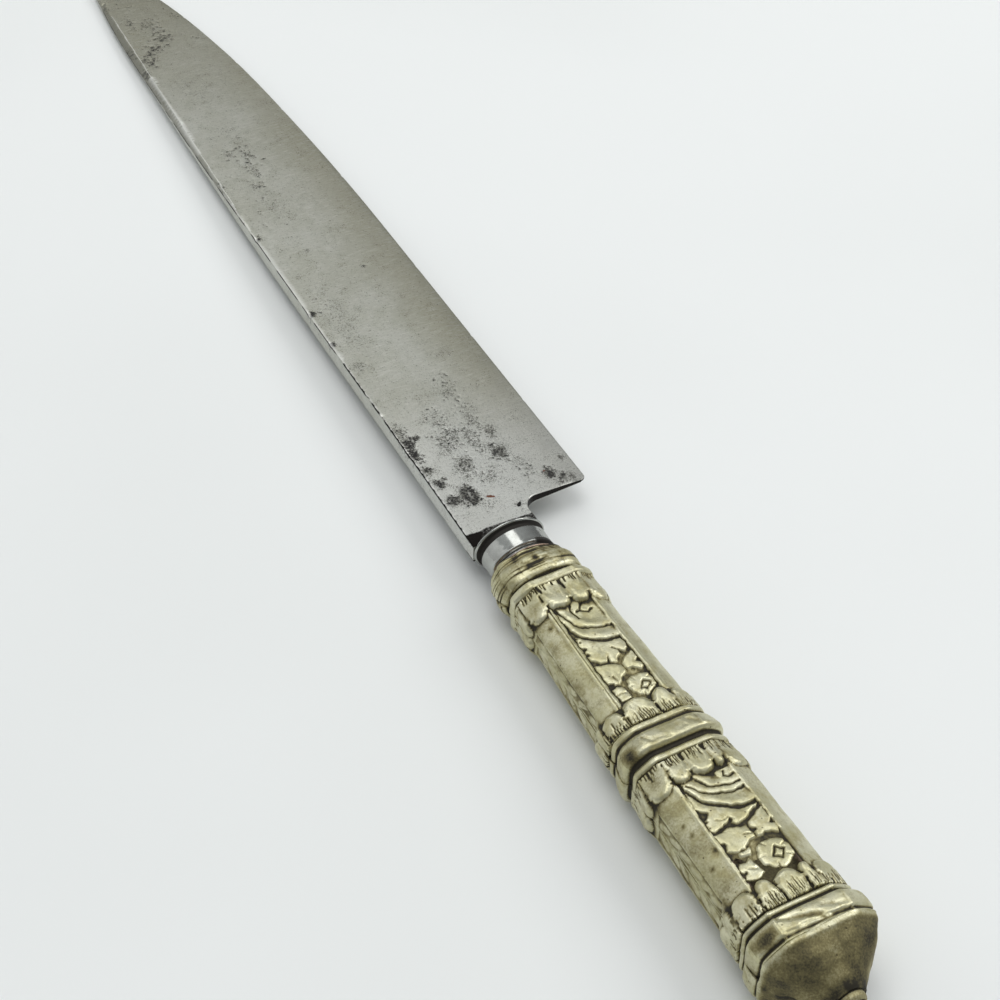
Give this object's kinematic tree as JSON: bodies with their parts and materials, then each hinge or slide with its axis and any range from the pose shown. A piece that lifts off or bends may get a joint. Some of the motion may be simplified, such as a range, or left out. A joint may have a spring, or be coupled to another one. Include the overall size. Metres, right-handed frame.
{
  "type": "bread knife",
  "caption": "Table knife for bread with a plain, clipped steel blade, a turned bolster and a hollow octagonal metal handle with leaf borders, panels, rings and a domed pommel.",
  "frame": {"origin": "on the handle's axis at the shoulder, where the blade meets the front face of the bolster", "axes": "+X along the handle's axis towards the blade's tip, +Y towards the spine, +Z out of the upper flank"},
  "size_m": [0.3567, 0.0324, 0.0178],
  "materials": {
    "blade_steel": "worn satin carbon steel with dark pits",
    "bolster_steel": "turned and polished steel",
    "washer_copper": "tarnished copper alloy",
    "handle_metal": "worn nickel silver, dark in the recesses",
    "cap_metal": "tarnished nickel silver with brown spots",
    "solder": "dull silver solder",
    "resin": "dark cutler's resin"
  },
  "bodies": {
    "root": {"blade": "blade_steel", "bolster": "bolster_steel", "mouth_washer": "washer_copper", "handle_shell_upper": "handle_metal", "handle_shell_lower": "handle_metal", "pommel_cap": "cap_metal", "seam_solder_spine": "solder", "seam_solder_edge": "solder", "cap_solder_ring": "solder", "handle_filling": "resin", "end_button": "cap_metal"}
  },
  "joints": []
}
